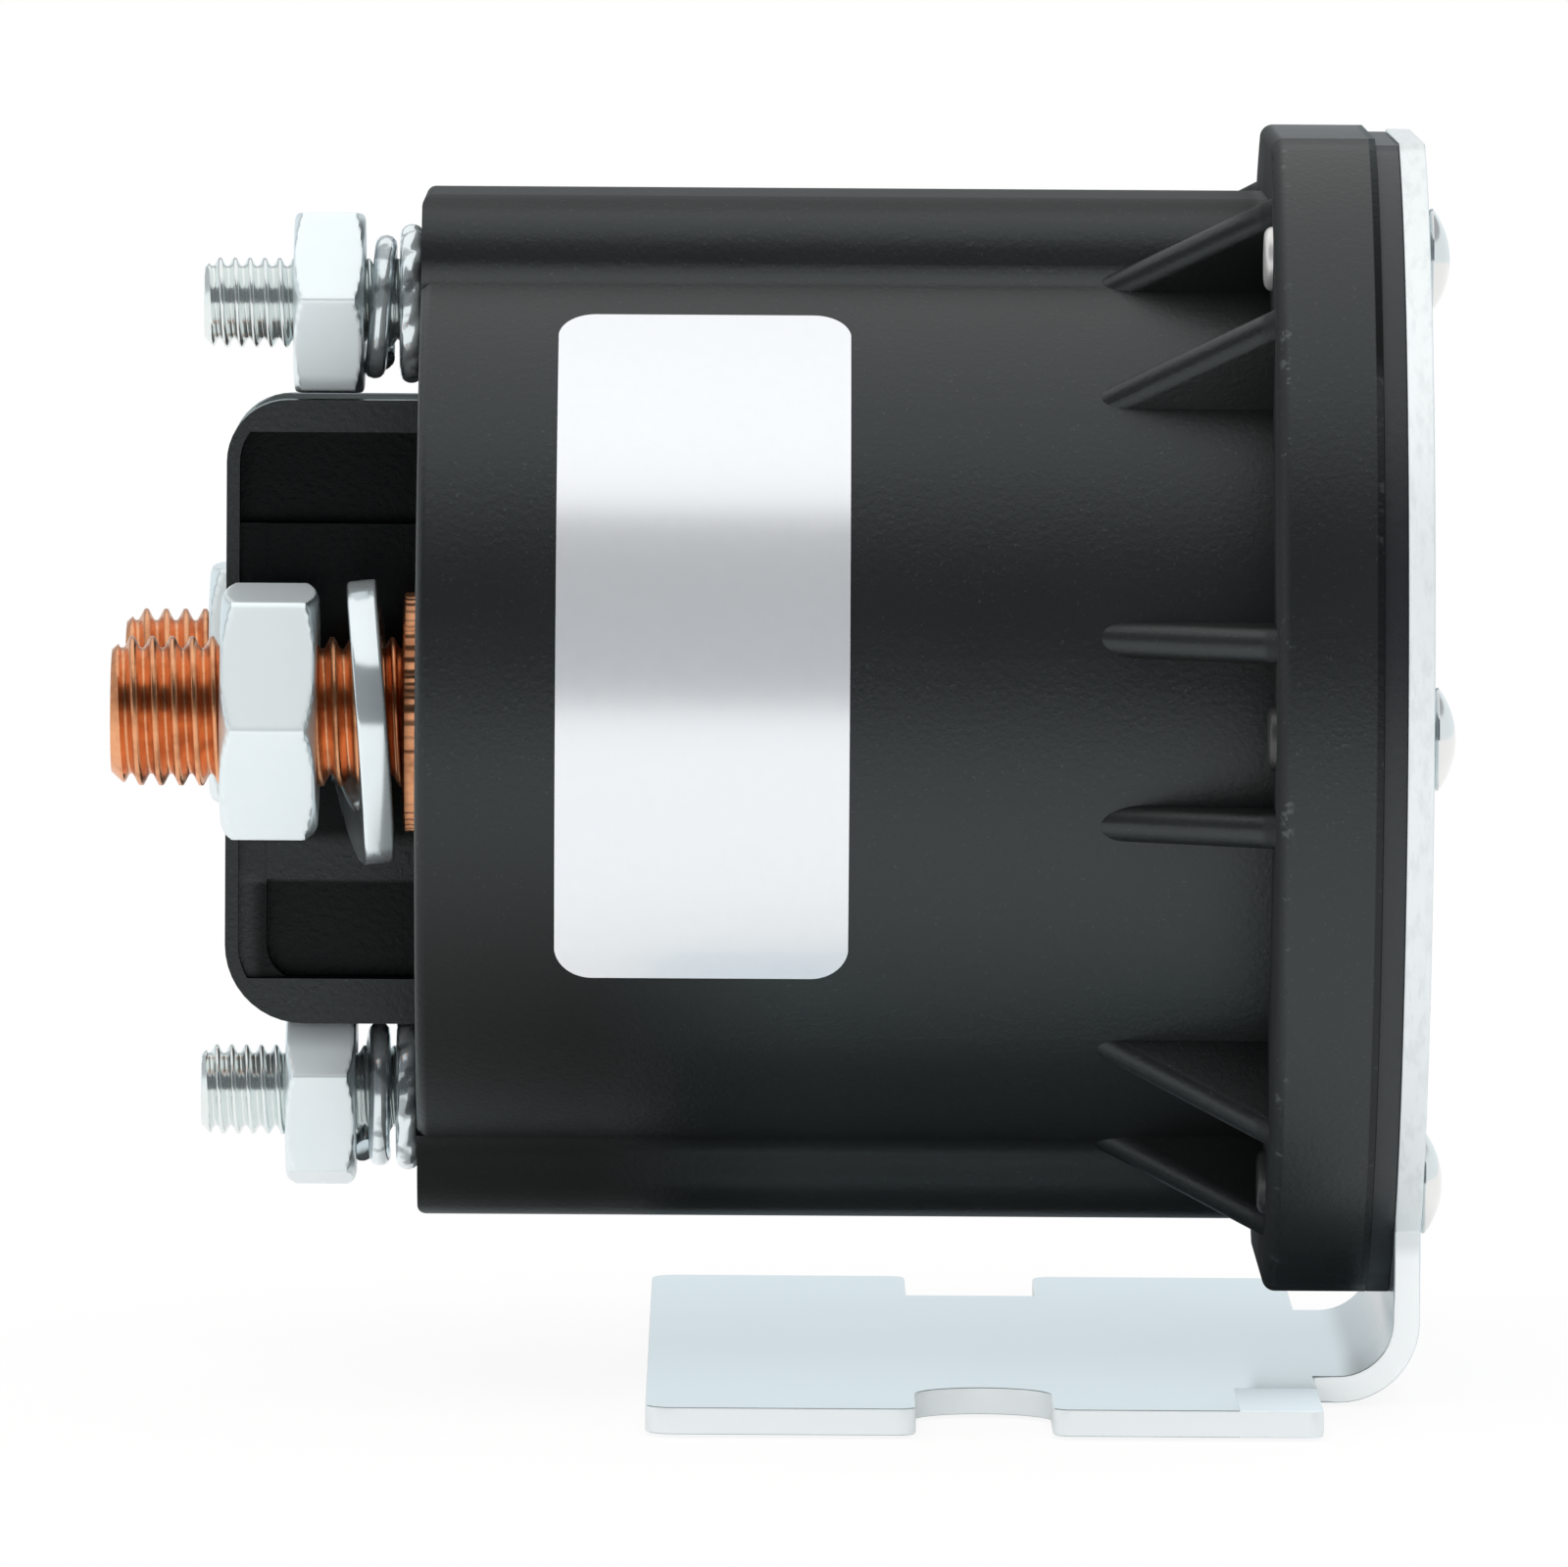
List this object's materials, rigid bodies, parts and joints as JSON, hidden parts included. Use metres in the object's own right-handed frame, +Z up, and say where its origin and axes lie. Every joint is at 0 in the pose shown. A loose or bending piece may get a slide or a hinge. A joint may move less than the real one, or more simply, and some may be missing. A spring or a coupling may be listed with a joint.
{
  "type": "solenoid relay",
  "caption": "Round black direct-current contactor on an L-shaped mounting bracket, with large copper contact studs and small coil studs on its front wall.",
  "frame": {"origin": "on the underside of the mounting foot, in its middle, halfway between the two bolt notches", "axes": "+Z up from the foot; the solenoid's axis lies along X, with the terminals towards -X and the bracket's upright plate towards +X; -Y is the side with the label"},
  "size_m": [0.0705, 0.072, 0.0664],
  "materials": {
    "housing_plastic": "black moulded thermoset, fine grain",
    "gasket_board": "black gasket board",
    "bracket_zinc": "pale blue-white zinc plate",
    "label_foil": "blank satin silver foil",
    "rivet_zinc": "zinc plated steel",
    "copper": "bare copper, slightly oxidised",
    "washer_zinc": "bright zinc plated spring steel",
    "nut_zinc": "pale zinc plated steel",
    "stud_zinc": "zinc plated steel",
    "bush_fibre": "red vulcanised fibre",
    "spring_steel": "bright spring steel",
    "rod_steel": "turned stainless steel",
    "magnet_iron": "soft iron, zinc flash",
    "bobbin_nylon": "natural nylon",
    "enamelled_wire": "enamelled copper wire"
  },
  "bodies": {
    "base": {"housing_cover": "housing_plastic", "base_gasket": "gasket_board", "mounting_bracket": "bracket_zinc", "label_foil": "label_foil", "rivet_1": "rivet_zinc", "rivet_2": "rivet_zinc", "rivet_3": "rivet_zinc", "rivet_4": "rivet_zinc", "rivet_5": "rivet_zinc", "rivet_6": "rivet_zinc", "power_stud_right": "copper", "power_stud_left": "copper", "power_collar_right": "copper", "power_collar_left": "copper", "power_lock_washer_right": "washer_zinc", "power_lock_washer_left": "washer_zinc", "power_nut_right": "nut_zinc", "power_nut_left": "nut_zinc", "coil_stud_upper": "stud_zinc", "coil_stud_lower": "stud_zinc", "coil_tooth_washer_upper": "washer_zinc", "coil_tooth_washer_lower": "washer_zinc", "coil_lock_washer_upper": "washer_zinc", "coil_lock_washer_lower": "washer_zinc", "coil_nut_upper": "nut_zinc", "coil_nut_lower": "nut_zinc", "return_spring": "spring_steel", "fixed_core": "magnet_iron", "yoke_plate": "magnet_iron", "yoke_cup": "magnet_iron", "coil_bobbin": "bobbin_nylon", "coil_winding": "enamelled_wire", "coil_lead_upper": "enamelled_wire", "coil_lead_lower": "enamelled_wire"},
    "plunger": {"plunger": "magnet_iron", "push_rod": "rod_steel", "retaining_clip": "spring_steel", "contact_spring": "spring_steel"},
    "bridge": {"contact_bridge": "copper", "bridge_washer_front": "bush_fibre", "bridge_washer_rear": "bush_fibre"}
  },
  "joints": [
    {"name": "plunger_slide", "type": "slide", "parent": "base", "child": "plunger", "axis": [-1, 0, 0], "range_m": [0, 0.0024], "stiffness_N_per_m": 2000, "springref_m": -0.002, "deforming": ["return_spring"]},
    {"name": "bridge_slide", "type": "slide", "parent": "plunger", "child": "bridge", "axis": [1, 0, 0], "range_m": [0, 0.00042], "deforming": ["contact_spring"]}
  ],
  "couplings": [
    {"joint": "bridge_slide", "follows": "plunger_slide", "ratio": 0.175}
  ]
}
